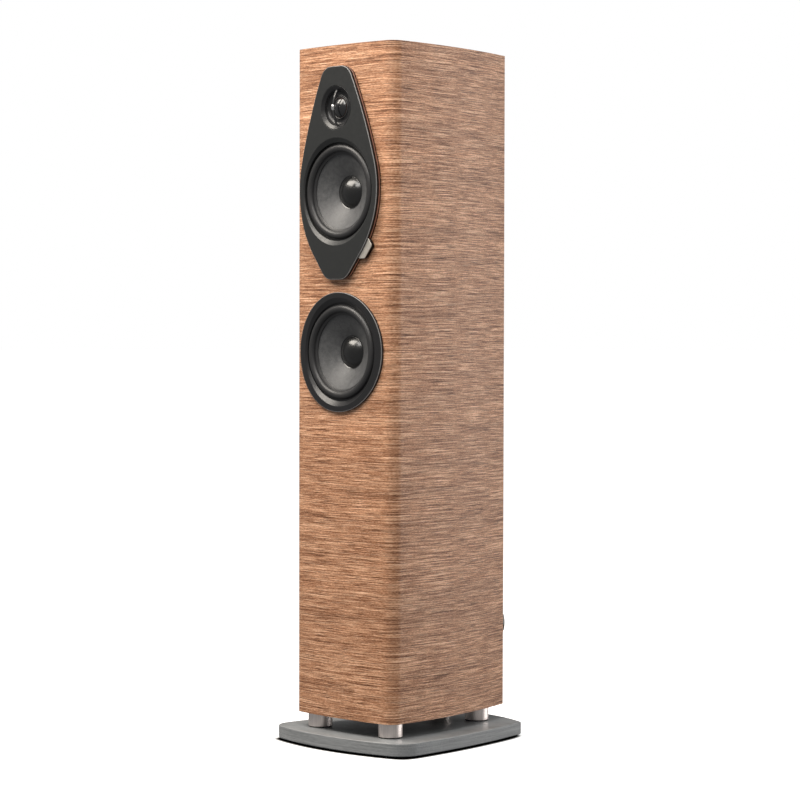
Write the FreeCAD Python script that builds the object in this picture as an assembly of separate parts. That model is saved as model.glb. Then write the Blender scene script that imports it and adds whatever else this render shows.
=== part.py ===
"""Floorstanding speaker: a tall bowed cabinet on a base plate, with a tweeter, a midrange and a woofer.

The design frame has X to the right, Y from the front to the rear with the foremost line of the cabinet
at Y = 0, and Z up from the underside of the cabinet. save() moves every piece from there to the row
frame, whose origin is at the middle of the whole object's footprint, on the floor.
"""
import FreeCAD, Part
import math
import os
from FreeCAD import Vector

# ---- driving dimensions, in millimetres ------------------------------------------------------------
CABINET_HEIGHT = 985.0
FRONT_HALF_WIDTH = 105.3     # to the corner that the front and side curves would meet at
FRONT_BOW = 7.0              # how far the front's middle stands before its corners
FRONT_CORNER_RADIUS = 18.0
REAR_HALF_WIDTH = 57.0
REAR_CORNER_Y = 287.0
REAR_BOW = 13.0
SIDE_BULGE = 12.0
VENEER = 0.8
WALL = 18.0
BAFFLE_BACK_Y = 26.0
REAR_WALL_FRONT_Y = 276.0
SHELF_Z = 640.0              # closes off the midrange chamber
UPPER_BRACE_Z = 400.0
LOWER_BRACE_Z = 250.0
BRACE_THICKNESS = 15.0

PLATE_GAP = 22.6             # from the base plate up to the cabinet
PLATE_THICKNESS = 18.5
PLATE_FRONT_HALF_WIDTH = 141.5
PLATE_FRONT_Y = -27.2
PLATE_FRONT_BOW = 24.0
PLATE_CORNER_RADIUS = 34.0
PLATE_REAR_HALF_WIDTH = 100.7
PLATE_REAR_CORNER_Y = 281.4
PLATE_REAR_BOW = 22.9
PLATE_SIDE_BULGE = 9.5
FOOT_HEIGHT = 3.4
SPACER_RADIUS = 18.0
SPACER_PLACES = ((-75.4, 31.4), (75.4, 31.4), (-40.3, 247.0), (40.3, 247.0))
FOOT_PLACES = ((-105.0, 22.0), (105.0, 22.0), (-78.0, 262.0), (78.0, 262.0))

TWEETER_Z = 893.0
MID_Z = 771.0
WOOFER_Z = 537.0
MID_LIP_Y = 0.0              # depth of the front of each cone driver's surround lip
WOOFER_LIP_Y = 3.5
PANEL_PROUD = 9.6            # how far the driver panel stands off the bowed front
RING_PROUD = 4.2             # the same for the woofer's trim ring
RING_RADIUS = 87.5
DRIVER_OPENING = 71.7        # radius that shows of a cone driver
FLANGE_RADIUS = 79.5

TERMINAL_Z = 120.0
POST_SPACING = 19.0          # the usual spacing of a pair of banana plugs
POST_RADIUS = 4.0
POST_END_Y = 326.0
DISH_RADIUS = 34.0
DISH_NECK_RADIUS = 29.0
DISH_SEAT_Y = 293.0
PORT_Y = 150.0

CLEARANCE = 0.3              # round a piece that drops into its seat
ORIGIN = Vector(0, (PLATE_FRONT_Y + POST_END_Y) / 2, -(PLATE_GAP + PLATE_THICKNESS + FOOT_HEIGHT))

UP = Vector(0, 0, 1)
BACK = Vector(0, 1, 0)


# ---- helpers ---------------------------------------------------------------------------------------
def save(name, *shapes):
    """Write the solids of one node, moved to the row frame."""
    shape = shapes[0] if len(shapes) == 1 else Part.makeCompound(list(shapes))
    shape = shape.copy()
    shape.translate(ORIGIN * -1)
    if not shape.isValid() or not shape.Solids:
        print("bad shape:", name)
    shape.exportStep("parts/" + name + ".step")


def solid(shape):
    """The one solid of a boolean result."""
    if len(shape.Solids) != 1:
        print("expected one solid, found", len(shape.Solids))
    return shape.Solids[0]


def outline(start, *moves, corners=(), radius=0.0):
    """A closed face in the XY plane. A move is a point, or (via, end) for an arc.

    The corners listed are rounded to the radius.
    """
    edges, ends = [], []
    here = Vector(*start)
    for move in moves + (start,):
        if isinstance(move[0], tuple):
            via, end = Vector(*move[0]), Vector(*move[1])
            edges.append(Part.Arc(here, via, end).toShape())
        else:
            end = Vector(*move)
            if end.distanceToPoint(here) < 1e-6:
                continue
            edges.append(Part.makeLine(here, end))
        ends.append((end.x, end.y))
        here = end
    return Part.Face(Part.Wire(rounded_corners(edges, ends, corners, radius)))


def rounded_corners(edges, ends, corners, radius):
    """The edges in order, with a true arc put in at each listed corner."""
    arcs = {}
    for index, end in enumerate(ends):
        if end in corners:
            after = (index + 1) % len(edges)
            maker = Part.ChFi2d.FilletAlgo(edges[index], edges[after], Part.Plane())
            maker.perform(radius)
            arcs[index], edges[index], edges[after] = maker.result(Vector(*end))
    ordered = []
    for index, edge in enumerate(edges):
        ordered.append(edge)
        if index in arcs:
            ordered.append(arcs[index])
    return ordered


def turned(height, depth, face, x=0.0):
    """Turn a face of (radius, depth) points about a line along Y at the given height."""
    body = face.revolve(Vector(0, 0, 0), BACK, 360)
    body.translate(Vector(x, depth, height))
    return solid(body)


def disc(radius, y_from, y_to, z, x=0.0):
    return Part.makeCylinder(radius, y_to - y_from, Vector(x, y_from, z), BACK)


def ring(inner, outer, y_from, y_to, z):
    return solid(disc(outer, y_from, y_to, z).cut(disc(inner, y_from - 1, y_to + 1, z)))


def block(x0, x1, y0, y1, z0, z1):
    return Part.makeBox(x1 - x0, y1 - y0, z1 - z0, Vector(x0, y0, z0))


def upright(face, y_from, y_to):
    """Stand a face drawn in (x, z) upright and give it depth from y_from to y_to."""
    standing = face.copy()
    standing.rotate(Vector(0, 0, 0), Vector(1, 0, 0), 90)
    standing.translate(Vector(0, y_from, 0))
    return standing.extrude(Vector(0, y_to - y_from, 0))


def mirrored(point):
    return (-point[0], point[1])


def around(shape, count, z, start=0.0):
    """Copies of a shape turned about the Y axis line at height z."""
    copies = []
    for step in range(count):
        turned_copy = shape.copy()
        turned_copy.rotate(Vector(0, 0, z), BACK, start + step * 360.0 / count)
        copies.append(turned_copy)
    return copies


def round_edges(shape, radius, wanted):
    edges = [edge for edge in shape.Edges if wanted(edge)]
    return shape.makeFillet(radius, edges)


def is_upright(edge):
    box = edge.BoundBox
    return box.XLength < 0.01 and box.YLength < 0.01


# ---- cabinet ---------------------------------------------------------------------------------------
def bowed_quad(front, rear, front_y, rear_y, front_bow, rear_bow, side_bulge, corner_radius):
    """Plan outline with a bowed front and rear, bulging sides and two rounded front corners.

    front_y is where the front's middle is, and rear_y is where the rear corners are.
    """
    corner_y = front_y + front_bow
    side = Vector(rear - front, rear_y - corner_y, 0)
    normal = Vector(side.y, -side.x, 0).normalize()
    middle = Vector((front + rear) / 2, (corner_y + rear_y) / 2, 0) + normal * side_bulge
    right = (middle.x, middle.y)
    return outline((-front, corner_y),
                   ((0, front_y), (front, corner_y)),
                   (right, (rear, rear_y)),
                   ((0, rear_y + rear_bow), (-rear, rear_y)),
                   (mirrored(right), (-front, corner_y)),
                   corners=((-front, corner_y), (front, corner_y)), radius=corner_radius)


CABINET_PLAN = bowed_quad(FRONT_HALF_WIDTH, REAR_HALF_WIDTH, 0, REAR_CORNER_Y, FRONT_BOW, REAR_BOW,
                          SIDE_BULGE, FRONT_CORNER_RADIUS)


def cabinet_prism(inset, z_from, z_to):
    """The cabinet's plan, pulled in by inset, between two heights."""
    plan = CABINET_PLAN if inset == 0 else CABINET_PLAN.makeOffset2D(-inset, join=2)
    plan = plan.copy()
    plan.translate(Vector(0, 0, z_from))
    return solid(plan.extrude(Vector(0, 0, z_to - z_from)))


BOW_RADIUS = (FRONT_HALF_WIDTH ** 2 + FRONT_BOW ** 2) / (2 * FRONT_BOW)


def before_front(proud):
    """Everything behind a surface that runs parallel to the bowed front, proud of it."""
    return Part.makeCylinder(BOW_RADIUS + proud, CABINET_HEIGHT + 200, Vector(0, BOW_RADIUS, -100), UP)


def driver_recess(z, lip_y):
    """Seat and through hole of a cone driver in the front wall."""
    seat = disc(FLANGE_RADIUS + CLEARANCE, -20, lip_y + 6.2, z)
    return seat.fuse(disc(70.5, 0, BAFFLE_BACK_Y + 1, z))


def tweeter_recess():
    seat = disc(38.0 + CLEARANCE, -20, 3.0, TWEETER_Z)
    return seat.fuse(disc(34.2, 0, BAFFLE_BACK_Y + 1, TWEETER_Z))


def terminal_recess():
    seat = disc(DISH_RADIUS + CLEARANCE, DISH_SEAT_Y - 0.2, 330, TERMINAL_Z)
    return seat.fuse(disc(DISH_NECK_RADIUS + CLEARANCE, REAR_WALL_FRONT_Y - 1, 330, TERMINAL_Z))


def cabinet():
    height = CABINET_HEIGHT
    inner_top = height - VENEER - WALL
    screws = driver_screws()
    openings = [driver_recess(MID_Z, MID_LIP_Y), driver_recess(WOOFER_Z, WOOFER_LIP_Y),
                tweeter_recess(), terminal_recess()]

    skin = cabinet_prism(0, 0, height).cut(cabinet_prism(VENEER, -1, height + 1))
    save("veneer_wrap", solid(skin.cut(openings)))
    save("veneer_top", cabinet_prism(VENEER, height - VENEER, height))
    save("top_panel", cabinet_prism(VENEER, inner_top, height - VENEER))

    bottom = cabinet_prism(VENEER, 0, WALL).cut(port_clearance())
    save("bottom_panel", solid(bottom.cut(base_bolts())))

    carcass = cabinet_prism(VENEER, WALL, inner_top)
    hollow = cabinet_prism(VENEER + WALL, WALL - 1, inner_top + 1)
    front = block(-200, 200, -50, BAFFLE_BACK_Y, 0, height)
    rear = block(-200, 200, REAR_WALL_FRONT_Y, 400, 0, height)
    baffle = carcass.common(front).cut(openings + screws)
    save("front_baffle", solid(baffle))
    rear_wall = carcass.common(rear).cut(openings + terminal_screws())
    save("rear_panel", solid(rear_wall))
    walls = carcass.cut([hollow, front, rear])
    for wall in walls.Solids:
        side = "left" if wall.CenterOfMass.x < 0 else "right"
        save("side_panel_" + side, wall)

    inside = hollow.cut([front, rear])
    shelf = inside.common(block(-200, 200, 0, 400, SHELF_Z, SHELF_Z + BRACE_THICKNESS))
    save("chamber_shelf", solid(shelf))
    window = round_edges(block(-46, 46, 60, 240, 0, 500), 20, is_upright)
    for name, low in (("brace_upper", UPPER_BRACE_Z), ("brace_lower", LOWER_BRACE_Z)):
        brace = inside.common(block(-200, 200, 0, 400, low, low + BRACE_THICKNESS)).cut(window)
        save(name, solid(brace))
    save("damping_pad", block(-32, 32, REAR_WALL_FRONT_Y - 12, REAR_WALL_FRONT_Y, 430, 620))


# ---- reflex port -----------------------------------------------------------------------------------
PORT_RADIUS = 27.0
PORT_WALL = 2.5
PORT_TOP = 150.0
FLARE_RADIUS = 41.0
FLARE_HEIGHT = 16.0


def port_tube():
    outer = PORT_RADIUS + PORT_WALL
    profile = outline((PORT_RADIUS, PORT_TOP),
                      (PORT_RADIUS, FLARE_HEIGHT),
                      ((PORT_RADIUS + 3.6, 4.6), (FLARE_RADIUS - 2, 0.4)),
                      (FLARE_RADIUS + 3, 0.4),
                      (FLARE_RADIUS + 3, 3.4),
                      (FLARE_RADIUS, 3.4),
                      ((outer + 2.8, 7.2), (outer, FLARE_HEIGHT)),
                      (outer, PORT_TOP))
    body = profile.revolve(Vector(0, 0, 0), BACK, 360)
    body.rotate(Vector(0, 0, 0), Vector(1, 0, 0), 90)
    body.translate(Vector(0, PORT_Y, 0))
    return solid(body)


def port_clearance():
    """Hole in the bottom panel, with a shallow seat for the flare's flange."""
    centre = Vector(0, PORT_Y, -1)
    hole = Part.makeCylinder(FLARE_RADIUS + 0.2, WALL + 2, centre, UP)
    return hole.fuse(Part.makeCylinder(FLARE_RADIUS + 3.2, 1 + 3.4, centre, UP))


# ---- cone drivers ----------------------------------------------------------------------------------
CONE_RIM = 58.0
CAP_RADIUS = 23.0
COIL_BORE = 15.7
SCREW_CIRCLE = 76.0


def surround(z, lip_y):
    """Half-roll rubber edge with a flat outer lip and an inner lip on the cone."""
    profile = outline((72.5, 0), (69.2, 0),
                      ((63.6, -5.2), (58.0, 0.6)),
                      (54.6, 2.1), (54.6, 3.3), (58.4, 1.9),
                      ((63.6, -4.1), (68.8, 1.1)),
                      (72.5, 1.1))
    return turned(z, lip_y, profile)


def cone(z, lip_y):
    profile = outline((CONE_RIM, 2.6), ((40.0, 11.6), (CAP_RADIUS, 22.0)),
                      (COIL_BORE + 0.4, 26.5), (COIL_BORE + 0.4, 28.2),
                      (CAP_RADIUS, 23.2), ((40.0, 12.8), (CONE_RIM, 3.6)))
    return turned(z, lip_y, profile)


def dust_cap(z, lip_y):
    height, wall = 11.0, 0.8
    ball = (CAP_RADIUS ** 2 + height ** 2) / (2 * height)
    centre = Vector(0, lip_y + 21.9 - height + ball, z)
    shell = Part.makeSphere(ball, centre).cut(Part.makeSphere(ball - wall, centre))
    return solid(shell.common(disc(CAP_RADIUS + 1, lip_y, lip_y + 21.9, z)))


def voice_coil(z, lip_y):
    profile = outline((COIL_BORE, 24.0), (COIL_BORE + 0.4, 24.0), (COIL_BORE + 0.4, 52.0),
                      (COIL_BORE + 1.2, 52.0), (COIL_BORE + 1.2, 66.0), (COIL_BORE, 66.0))
    return turned(z, lip_y, profile)


def spider(z, lip_y):
    """Corrugated cloth disc that centres the voice coil."""
    waves, inner, outer = 4, 20.0, 38.0
    pitch = (outer - inner) / waves
    front, back = [], []
    for wave in range(waves):
        start = inner + wave * pitch
        height = 1.6 if wave % 2 == 0 else -1.6
        front.append(((start + pitch / 2, 43.8 - height), (start + pitch, 43.8)))
        back.insert(0, ((start + pitch / 2, 44.4 - height), (start, 44.4)))
    profile = outline((COIL_BORE + 0.4, 43.8), (inner, 43.8), *front,
                      (43.0, 43.8), (43.0, 44.4), (outer, 44.4), *back,
                      (COIL_BORE + 0.4, 44.4))
    return turned(z, lip_y, profile)


def basket(z, lip_y):
    """Cast frame: front flange, six arms, spider ledge and motor seat."""
    profile = outline((68.6, 1.2), (FLANGE_RADIUS, 1.2), (FLANGE_RADIUS, 6.2), (70.0, 6.2), (70.0, 10.0),
                      (47.0, 47.0), (47.0, 56.0), (22.0, 56.0), (22.0, 53.5), (38.0, 53.5),
                      (38.0, 44.5), (44.3, 44.5), (67.6, 8.0), (68.6, 7.0))
    frame = turned(z, lip_y, profile)
    window = block(-18, 18, lip_y + 14, lip_y + 41, z + 46, z + 76)
    frame = frame.cut(around(window, 6, z, 30))
    return solid(frame.cut(driver_screws()))


def top_plate(z, lip_y):
    return ring(17.6, 46, lip_y + 56, lip_y + 62, z)


def magnet(z, lip_y):
    return ring(24, 45, lip_y + 62, lip_y + 78, z)


def back_plate(z, lip_y):
    """Rear plate with the pole piece and its vent."""
    profile = outline((5, 56.5), (15.2, 56.5), (15.2, 78), (43, 78), (44, 79), (44, 84), (43, 85), (5, 85))
    return turned(z, lip_y, profile)


def driver_screws():
    """Six countersunk screws for each of the two cone drivers."""
    screws = []
    for z, lip_y in ((MID_Z, MID_LIP_Y), (WOOFER_Z, WOOFER_LIP_Y)):
        profile = outline((0, -0.4), (2.0, -0.4), (2.5, 0.1), (2.5, 1.3), (1.8, 2.4), (1.8, 20.0), (0, 22.0))
        screw = turned(z + SCREW_CIRCLE, lip_y, profile)
        screws += around(screw, 6, z)
    return screws


def cone_driver(name, z, lip_y):
    save(name + "_basket", basket(z, lip_y))
    save(name + "_surround", surround(z, lip_y))
    save(name + "_cone", cone(z, lip_y))
    save(name + "_dust_cap", dust_cap(z, lip_y))
    save(name + "_voice_coil", voice_coil(z, lip_y))
    save(name + "_spider", spider(z, lip_y))
    save(name + "_top_plate", top_plate(z, lip_y))
    save(name + "_magnet", magnet(z, lip_y))
    save(name + "_back_plate", back_plate(z, lip_y))


def bevel_cutter(z, inner_radius, inner_y):
    """A 45 degree cone that opens to the front from a circle."""
    reach = 20.0
    return Part.makeCone(inner_radius + reach, inner_radius, reach, Vector(0, inner_y - reach, z), BACK)


def woofer_trim_ring():
    land_y = WOOFER_LIP_Y - 1.3
    bevel_y = WOOFER_LIP_Y - 1.9
    rim = disc(RING_RADIUS, -30, 12, WOOFER_Z).cut(before_front(0))
    land = disc(FLANGE_RADIUS, -30, land_y, WOOFER_Z)
    body = rim.fuse(land).common(before_front(RING_PROUD))
    body = body.cut(disc(FLANGE_RADIUS + CLEARANCE, land_y, 20, WOOFER_Z))
    body = body.cut([disc(DRIVER_OPENING, -30, 20, WOOFER_Z),
                     bevel_cutter(WOOFER_Z, DRIVER_OPENING, bevel_y)])
    return solid(body.removeSplitter())


# ---- driver panel ----------------------------------------------------------------------------------
PANEL_TOP = 953.5
PANEL_BOTTOM = 642.5
PANEL_CORNER_RADIUS = 24.0
PANEL_TOP_CORNER = (25.8, PANEL_TOP)
PANEL_SHOULDER = (77.6, 815.0)
PANEL_WIDEST = (83.0, MID_Z)
PANEL_HIP = (53.5, 684.0)
PANEL_BOTTOM_CORNER = (21.2, PANEL_BOTTOM)
PANEL_UPPER_FLANK = (64.0, 860.0)


def panel_outline():
    """Drop shape: a wide round middle about the midrange driver and narrow flat ends."""
    ends = (PANEL_TOP_CORNER, PANEL_BOTTOM_CORNER, mirrored(PANEL_BOTTOM_CORNER), mirrored(PANEL_TOP_CORNER))
    return outline(PANEL_TOP_CORNER,
                   (PANEL_UPPER_FLANK, PANEL_SHOULDER),
                   (PANEL_WIDEST, PANEL_HIP),
                   PANEL_BOTTOM_CORNER,
                   mirrored(PANEL_BOTTOM_CORNER),
                   mirrored(PANEL_HIP),
                   (mirrored(PANEL_WIDEST), mirrored(PANEL_SHOULDER)),
                   (mirrored(PANEL_UPPER_FLANK), mirrored(PANEL_TOP_CORNER)),
                   corners=ends, radius=PANEL_CORNER_RADIUS)


def driver_panel():
    body = upright(panel_outline(), -30, 12).common(before_front(PANEL_PROUD)).cut(before_front(0))
    hidden_y = MID_LIP_Y - 1.3
    plugs = disc(FLANGE_RADIUS, -9, hidden_y, MID_Z).common(before_front(PANEL_PROUD))
    body = body.fuse(plugs)
    body = body.cut([disc(FLANGE_RADIUS + CLEARANCE, hidden_y, 20, MID_Z),
                     disc(DRIVER_OPENING, -30, 20, MID_Z),
                     bevel_cutter(MID_Z, DRIVER_OPENING, MID_LIP_Y - 4.5),
                     disc(32.0 + CLEARANCE / 2, -30, 20, TWEETER_Z),
                     disc(38.0 + CLEARANCE, -2.2, 20, TWEETER_Z)])
    return solid(body)


def panel_tab():
    """Plain metal tab held under the panel's lower right edge."""
    free_corners = ((63.5, 702.5), (71.8, 691.5), (57.4, 672.6))
    face = outline((55.0, 704.5), *free_corners, (43.0, 672.6), corners=free_corners, radius=4.0)
    body = upright(face, -30, 12).common(before_front(PANEL_PROUD - 2.4)).cut(before_front(0))
    return solid(body.cut(upright(panel_outline(), -30, 12)))


# ---- tweeter ---------------------------------------------------------------------------------------
DOME_RADIUS = 14.0
TWEETER_RIM = 32.0
BRIDGE_REACH = 25.5


def tweeter_waveguide():
    profile = outline((TWEETER_RIM, -9.1), (26.6, -7.6),
                      ((21.0, -5.0), (17.8, -0.4)), (17.8, 0.5), (33.6, 0.5), (33.6, 3.0),
                      (38.0, 3.0), (38.0, -2.0), (TWEETER_RIM, -2.0))
    return turned(TWEETER_Z, 0, profile)


def tweeter_bridge():
    """Thin bowed bar across the throat, with an egg-shaped nub at its middle."""
    front = outline((-BRIDGE_REACH, -8.0), ((0, -16.6), (BRIDGE_REACH, -8.0)),
                    (BRIDGE_REACH, -6.4), ((0, -14.6), (-BRIDGE_REACH, -6.4)))
    bar = front.extrude(Vector(0, 0, 2.4))
    bar.translate(Vector(0, 0, -1.2))
    bar.rotate(Vector(0, 0, 0), BACK, 90)
    bar.translate(Vector(0, 0, TWEETER_Z))
    nub = Part.makeSphere(1.0)
    stretch = FreeCAD.Matrix()
    stretch.scale(3.0, 3.2, 4.9)
    nub = nub.transformGeometry(stretch)
    nub.translate(Vector(0, -15.6, TWEETER_Z))
    seat = tweeter_waveguide()
    return solid(bar.fuse(nub).cut(seat))


def tweeter_dome():
    height, wall = 5.6, 0.4
    ball = (DOME_RADIUS ** 2 + height ** 2) / (2 * height)
    centre = Vector(0, -1.2 - height + ball, TWEETER_Z)
    shell = Part.makeSphere(ball, centre).cut(Part.makeSphere(ball - wall, centre))
    return solid(shell.common(disc(DOME_RADIUS, -20, -1.2, TWEETER_Z)))


def tweeter_surround():
    profile = outline((16.8, 0.5), ((15.6, -1.0), (14.3, 0.0)), (14.3, 0.3),
                      ((15.6, -0.6), (16.5, 0.9)), (22.0, 0.9), (22.0, 0.5))
    return turned(TWEETER_Z, 0, profile)


def tweeter_voice_coil():
    profile = outline((13.7, -1.2), (14.0, -1.2), (14.0, 1.4), (14.4, 1.4), (14.4, 4.6), (13.7, 4.6))
    return turned(TWEETER_Z, 0, profile)


def tweeter_back_plate():
    profile = outline((3, 1.8), (13.2, 1.8), (13.2, 12), (32, 12), (32, 16), (3, 16))
    return turned(TWEETER_Z, 0, profile)


def tweeter_rear_chamber():
    profile = outline((28, 16), (30, 16), (30, 44), (28, 46), (0, 46), (0, 44), (28, 44))
    return turned(TWEETER_Z, 0, profile)


def tweeter():
    save("tweeter_waveguide", tweeter_waveguide())
    save("tweeter_bridge", tweeter_bridge())
    save("tweeter_dome", tweeter_dome())
    save("tweeter_surround", tweeter_surround())
    save("tweeter_voice_coil", tweeter_voice_coil())
    save("tweeter_top_plate", ring(14.9, 33.3, 0.9, 4.0, TWEETER_Z))
    save("tweeter_magnet", ring(18, 33, 4.0, 12.0, TWEETER_Z))
    save("tweeter_back_plate", tweeter_back_plate())
    save("tweeter_rear_chamber", tweeter_rear_chamber())


# ---- crossover -------------------------------------------------------------------------------------
def crossover():
    board_top = WALL + 3.0
    save("crossover_board", block(-62, 62, 36, 104, WALL, board_top))
    coils = []
    for x, radius, height in ((-44, 15, 16), (0, 17, 20), (43, 14, 14)):
        coil = Part.makeCylinder(radius, height, Vector(x, 58, board_top), UP)
        coils.append(coil.cut(Part.makeCylinder(radius * 0.45, height, Vector(x, 58, board_top), UP)))
    save("crossover_coils", *coils)
    capacitors = []
    for x, radius in ((-42, 8), (-4, 9), (34, 7)):
        start = Vector(x - 15, 92, board_top + radius)
        capacitors.append(Part.makeCylinder(radius, 30, start, Vector(1, 0, 0)))
    save("crossover_capacitors", *capacitors)
    resistors = [block(x - 3, x + 3, 40, 76, board_top, board_top + 7) for x in (-23, 23)]
    save("crossover_resistors", *resistors)


# ---- terminals -------------------------------------------------------------------------------------
DISH_FACE_Y = 317.8
DISH_LIP_RADIUS = 5.0
DISH_FLOOR_Y = 303.0
POST_COLLAR_RADIUS = 7.4
WASHER_RADIUS = 7.2
PLUG_BORE_RADIUS = 2.0
PLUG_BORE_DEPTH = 19.0


def terminal_dish():
    lip = DISH_LIP_RADIUS
    bend = lip * (1 - math.sqrt(0.5))
    neck, rim = DISH_NECK_RADIUS, DISH_RADIUS
    profile = outline((0, REAR_WALL_FRONT_Y), (neck, REAR_WALL_FRONT_Y), (neck, DISH_SEAT_Y),
                      (rim, DISH_SEAT_Y), (rim, DISH_FACE_Y - lip),
                      ((rim - bend, DISH_FACE_Y - bend), (rim - lip, DISH_FACE_Y)),
                      (28, DISH_FACE_Y), (26.6, DISH_FLOOR_Y), (0, DISH_FLOOR_Y))
    dish = turned(TERMINAL_Z, 0, profile)
    return solid(dish.cut(terminal_posts() + terminal_screws()))


def terminal_posts():
    """Fixed posts with a collar on the dish's floor and a plug bore in the free end."""
    posts = []
    for x in (-POST_SPACING / 2, POST_SPACING / 2):
        profile = outline((0, REAR_WALL_FRONT_Y - 10), (3, REAR_WALL_FRONT_Y - 10),
                          (3, DISH_FLOOR_Y - 2), (POST_RADIUS, DISH_FLOOR_Y),
                          (POST_COLLAR_RADIUS, DISH_FLOOR_Y), (POST_COLLAR_RADIUS, DISH_FLOOR_Y + 2),
                          (POST_RADIUS, DISH_FLOOR_Y + 2),
                          (POST_RADIUS, POST_END_Y - 0.6), (POST_RADIUS - 0.6, POST_END_Y),
                          (PLUG_BORE_RADIUS, POST_END_Y), (PLUG_BORE_RADIUS, POST_END_Y - PLUG_BORE_DEPTH),
                          (0, POST_END_Y - PLUG_BORE_DEPTH))
        posts.append(turned(TERMINAL_Z, 0, profile, x))
    return posts


def terminal_screws():
    profile = outline((0, -0.8), (1.6, -0.8), (2.6, 0.4), (1.5, 1.6), (1.5, 16.0), (0, 17.0))
    flipped = profile.mirror(Vector(0, 0, 0), BACK)
    screw = turned(TERMINAL_Z, DISH_FLOOR_Y, flipped)
    screw.translate(Vector(0, 0, 21.0))
    return around(screw, 4, TERMINAL_Z, 45)


def clamp_nut(x):
    """Fluted thumb nut that runs on the post."""
    bore = POST_RADIUS + 0.05
    profile = outline((bore, 306.8), (6.6, 306.8), (7.8, 308.0), (7.8, 319.6), (6.8, 320.6), (bore, 320.6))
    nut = turned(TERMINAL_Z, 0, profile, x)
    flute = disc(0.9, 309, 322, TERMINAL_Z + 8.2, x)
    flutes = []
    for step in range(12):
        groove = flute.copy()
        groove.rotate(Vector(x, 0, TERMINAL_Z), BACK, step * 30.0)
        flutes.append(groove)
    return solid(nut.cut(flutes))


def terminals():
    save("terminal_dish", terminal_dish())
    save("terminal_posts", *terminal_posts())
    save("terminal_screws", *terminal_screws())
    for side, x in (("left", -POST_SPACING / 2), ("right", POST_SPACING / 2)):
        washer = disc(WASHER_RADIUS, 305.3, 306.5, TERMINAL_Z, x)
        washer = washer.cut(disc(POST_RADIUS + 0.05, 305, 307, TERMINAL_Z, x))
        save("clamp_washer_" + side, washer)
        save("thumb_nut_" + side, clamp_nut(x))


# ---- base ------------------------------------------------------------------------------------------
PLATE_TOP = -PLATE_GAP
PLATE_UNDERSIDE = PLATE_TOP - PLATE_THICKNESS
RING_HEIGHT = 1.4
BOLT_RADIUS = 3.0
BOLT_HEAD_RADIUS = 6.5
FOOT_RADIUS = 16.0


def base_bolts():
    """One bolt up through the plate and each spacer into the bottom panel."""
    bolts = []
    for x, y in SPACER_PLACES:
        shank = Part.makeCylinder(BOLT_RADIUS, 60, Vector(x, y, PLATE_UNDERSIDE + 4), UP)
        head = Part.makeCylinder(BOLT_HEAD_RADIUS, 6, Vector(x, y, PLATE_UNDERSIDE + 2), UP)
        socket = Part.makeCylinder(2.5, 4, Vector(x, y, PLATE_UNDERSIDE + 1), UP)
        shank = shank.common(block(-200, 200, -50, 400, PLATE_UNDERSIDE + 4, WALL - 3))
        bolts.append(solid(shank.fuse(head).cut(socket)))
    return bolts


def base_plate():
    plan = bowed_quad(PLATE_FRONT_HALF_WIDTH, PLATE_REAR_HALF_WIDTH, PLATE_FRONT_Y, PLATE_REAR_CORNER_Y,
                      PLATE_FRONT_BOW, PLATE_REAR_BOW, PLATE_SIDE_BULGE, PLATE_CORNER_RADIUS)
    plan.translate(Vector(0, 0, PLATE_UNDERSIDE))
    plate = plan.extrude(Vector(0, 0, PLATE_THICKNESS))
    rim = [e for e in plate.Edges if e.BoundBox.ZLength < 0.01]
    plate = plate.makeChamfer(1.0, rim)
    pockets = []
    for x, y in SPACER_PLACES:
        pockets.append(Part.makeCylinder(BOLT_RADIUS, 60, Vector(x, y, PLATE_UNDERSIDE), UP))
        pockets.append(Part.makeCylinder(BOLT_HEAD_RADIUS, 8, Vector(x, y, PLATE_UNDERSIDE), UP))
    return solid(plate.cut(pockets))


def post_ring(x, y, radius, z_from, z_to):
    post = Part.makeCylinder(radius, z_to - z_from, Vector(x, y, z_from), UP)
    return post.cut(Part.makeCylinder(BOLT_RADIUS, z_to - z_from, Vector(x, y, z_from), UP))


def base():
    save("base_plate", base_plate())
    save("base_bolts", *base_bolts())
    spacers, rings, feet = [], [], []
    for x, y in SPACER_PLACES:
        spacer = post_ring(x, y, SPACER_RADIUS, PLATE_TOP + RING_HEIGHT, 0)
        spacers.append(round_edges(spacer, 0.6, lambda e: e.Length > 6 * SPACER_RADIUS))
        rings.append(post_ring(x, y, SPACER_RADIUS - 0.8, PLATE_TOP, PLATE_TOP + RING_HEIGHT))
    for x, y in FOOT_PLACES:
        foot_bottom = Vector(x, y, PLATE_UNDERSIDE - FOOT_HEIGHT)
        feet.append(Part.makeCylinder(FOOT_RADIUS, FOOT_HEIGHT, foot_bottom, UP))
    save("spacers", *spacers)
    save("spacer_rings", *rings)
    save("rubber_feet", *feet)


def main():
    os.makedirs("parts", exist_ok=True)
    cabinet()
    save("port_tube", port_tube())
    cone_driver("woofer", WOOFER_Z, WOOFER_LIP_Y)
    cone_driver("mid", MID_Z, MID_LIP_Y)
    save("driver_screws", *driver_screws())
    save("woofer_trim_ring", woofer_trim_ring())
    save("driver_panel", driver_panel())
    save("panel_tab", panel_tab())
    tweeter()
    crossover()
    terminals()
    base()


main()
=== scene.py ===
"""Looks of the floorstanding speaker: detailed pieces, materials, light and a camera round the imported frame.

Profiles and outlines are in millimetres in the design frame of the part, whose origin is at the foot of the
cabinet's foremost line. Everything placed in the scene is in metres, in the row frame.
"""

import math

import bmesh
import bpy
import numpy as np
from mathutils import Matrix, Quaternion, Vector
from mathutils.geometry import delaunay_2d_cdt, intersect_line_line_2d


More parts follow.
